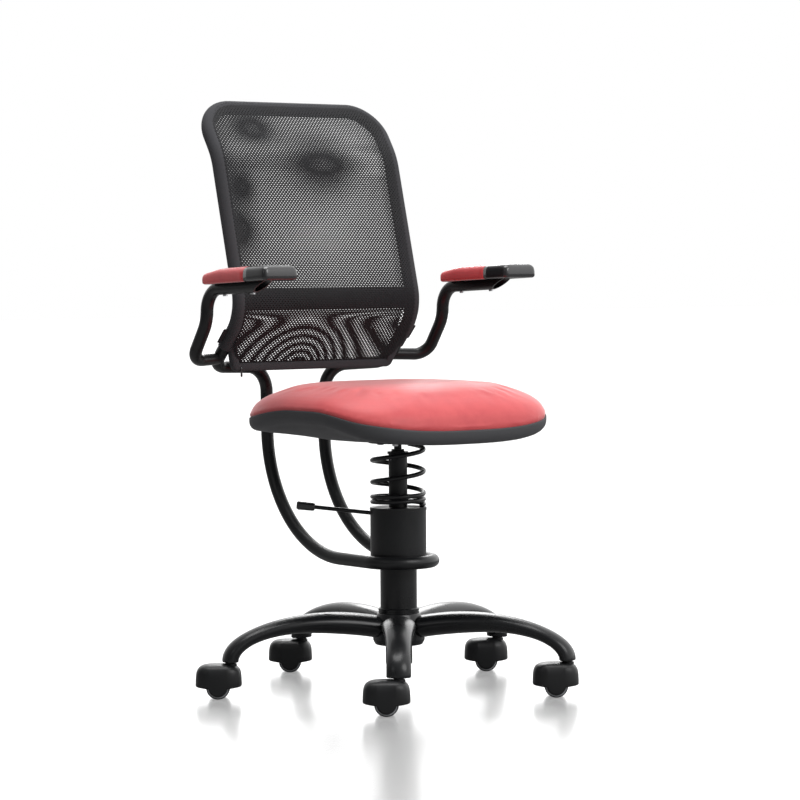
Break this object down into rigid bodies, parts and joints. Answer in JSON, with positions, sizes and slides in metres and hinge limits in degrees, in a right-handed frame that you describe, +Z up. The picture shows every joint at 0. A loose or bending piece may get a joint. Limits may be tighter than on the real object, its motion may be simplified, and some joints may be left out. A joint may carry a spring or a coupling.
{
  "type": "office chair",
  "caption": "Swivel office chair with a mesh sleeve back on a bent tube frame, a red padded seat that tilts on a coil spring, padded arms and a castor star base.",
  "frame": {"origin": "on the floor under the axis of the column, where the castors stand", "axes": "+Z up along the column, -Y the way the sitter looks, +X to the sitter's left"},
  "size_m": [0.6456, 0.6209, 1.0185],
  "materials": {
    "base_plastic": "satin black moulded plastic",
    "castor_plastic": "satin black moulded plastic",
    "wheel_tread": "dull black",
    "steel": "plain turned steel",
    "frame_paint": "black powder coat, smooth and slightly glossy",
    "spring_paint": "black enamel",
    "bush_plastic": "plain",
    "mesh_cloth": "open knitted net, dark grey",
    "sleeve_cloth": "woven border, black",
    "red_cloth": "tight cloth with a soft sheen, red",
    "red_pad": "smooth padded cover, red",
    "cap_plastic": "soft black",
    "shell_plastic": "matt black with a thin rim",
    "board_wood": "plain plywood"
  },
  "bodies": {
    "base": {"base_hub": "base_plastic", "base_leg_1": "base_plastic", "base_leg_2": "base_plastic", "base_leg_3": "base_plastic", "base_leg_4": "base_plastic", "base_leg_5": "base_plastic", "castor_sockets": "steel", "hub_collar": "base_plastic", "column_tube": "frame_paint", "guide_bush": "bush_plastic", "thrust_bearing": "steel"},
    "rod": {"piston_rod": "steel"},
    "frame": {"gas_tube": "frame_paint", "taper_block": "steel", "lift_housing": "frame_paint", "housing_top_plate": "frame_paint", "guide_tube": "frame_paint", "seat_spring": "spring_paint", "frame_tube": "frame_paint", "back_frame": "frame_paint", "sleeve_edge": "sleeve_cloth", "mesh_front": "mesh_cloth", "mesh_rear": "mesh_cloth", "mesh_hem": "sleeve_cloth", "lumbar_belt": "sleeve_cloth", "arm_tube_right": "frame_paint", "arm_tube_left": "frame_paint", "arm_board_right": "cap_plastic", "arm_board_left": "cap_plastic", "arm_pad_right": "red_pad", "arm_pad_left": "red_pad", "arm_cap_right": "cap_plastic", "arm_cap_left": "cap_plastic", "arm_screws": "steel", "lever_pivot": "steel"},
    "lever": {"lever_rod": "frame_paint", "lever_grip": "cap_plastic"},
    "valve": {"valve_pin": "steel"},
    "cross": {"joint_cross": "steel"},
    "seat": {"seat_rod": "frame_paint", "seat_plate": "frame_paint", "seat_bolts": "steel", "seat_board": "board_wood", "seat_shell": "shell_plastic", "seat_cushion": "red_cloth"},
    "castor_1": {"castor_1_hood": "castor_plastic", "castor_1_pins": "steel"},
    "wheels_1": {"castor_1_wheels": "wheel_tread"},
    "castor_2": {"castor_2_hood": "castor_plastic", "castor_2_pins": "steel"},
    "wheels_2": {"castor_2_wheels": "wheel_tread"},
    "castor_3": {"castor_3_hood": "castor_plastic", "castor_3_pins": "steel"},
    "wheels_3": {"castor_3_wheels": "wheel_tread"},
    "castor_4": {"castor_4_hood": "castor_plastic", "castor_4_pins": "steel"},
    "wheels_4": {"castor_4_wheels": "wheel_tread"},
    "castor_5": {"castor_5_hood": "castor_plastic", "castor_5_pins": "steel"},
    "wheels_5": {"castor_5_wheels": "wheel_tread"}
  },
  "joints": [
    {"name": "seat_swivel", "type": "hinge", "parent": "base", "child": "rod", "pos_m": [0, 0, 0.05], "axis": [0, 0, 1], "continuous": true},
    {"name": "lift_slide", "type": "slide", "parent": "rod", "child": "frame", "axis": [0, 0, 1], "range_m": [-0.05, 0.065]},
    {"name": "lever_lift", "type": "hinge", "parent": "frame", "child": "lever", "pos_m": [-0.02298, 0.01928, 0.30185], "axis": [0.6428, 0.766, 0], "range_deg": [0, 3], "stiffness_Nm_per_rad": 30},
    {"name": "valve_press", "type": "slide", "parent": "frame", "child": "valve", "axis": [0, 0, -1], "range_m": [0, 0.0016]},
    {"name": "seat_pitch", "type": "hinge", "parent": "frame", "child": "cross", "pos_m": [0, 0, 0.397], "axis": [1, 0, 0], "range_deg": [-6, 6], "stiffness_Nm_per_rad": 300, "deforming": ["seat_spring"]},
    {"name": "seat_roll", "type": "hinge", "parent": "cross", "child": "seat", "pos_m": [0, 0, 0.397], "axis": [0, 1, 0], "range_deg": [-6, 6], "stiffness_Nm_per_rad": 300},
    {"name": "castor_1_swivel", "type": "hinge", "parent": "base", "child": "castor_1", "pos_m": [-0.17994, -0.23879, 0.06], "axis": [0, 0, 1], "continuous": true},
    {"name": "castor_1_roll", "type": "hinge", "parent": "castor_1", "child": "wheels_1", "pos_m": [-0.19592, -0.22676, 0.02], "axis": [-0.6018, -0.7986, 0], "continuous": true},
    {"name": "castor_2_swivel", "type": "hinge", "parent": "base", "child": "castor_2", "pos_m": [0.1715, -0.24493, 0.06], "axis": [0, 0, 1], "continuous": true},
    {"name": "castor_2_roll", "type": "hinge", "parent": "castor_2", "child": "wheels_2", "pos_m": [0.15553, -0.23289, 0.02], "axis": [-0.6018, -0.7986, 0], "continuous": true},
    {"name": "castor_3_swivel", "type": "hinge", "parent": "base", "child": "castor_3", "pos_m": [0.28593, 0.08742, 0.06], "axis": [0, 0, 1], "continuous": true},
    {"name": "castor_3_roll", "type": "hinge", "parent": "castor_3", "child": "wheels_3", "pos_m": [0.26996, 0.09946, 0.02], "axis": [-0.6018, -0.7986, 0], "continuous": true},
    {"name": "castor_4_swivel", "type": "hinge", "parent": "base", "child": "castor_4", "pos_m": [0.00522, 0.29895, 0.06], "axis": [0, 0, 1], "continuous": true},
    {"name": "castor_4_roll", "type": "hinge", "parent": "castor_4", "child": "wheels_4", "pos_m": [-0.01075, 0.31099, 0.02], "axis": [-0.6018, -0.7986, 0], "continuous": true},
    {"name": "castor_5_swivel", "type": "hinge", "parent": "base", "child": "castor_5", "pos_m": [-0.28271, 0.09735, 0.06], "axis": [0, 0, 1], "continuous": true},
    {"name": "castor_5_roll", "type": "hinge", "parent": "castor_5", "child": "wheels_5", "pos_m": [-0.29868, 0.10938, 0.02], "axis": [-0.6018, -0.7986, 0], "continuous": true}
  ],
  "couplings": [
    {"joint": "valve_press", "follows": "lever_lift", "m_per_rad": 0.03}
  ]
}
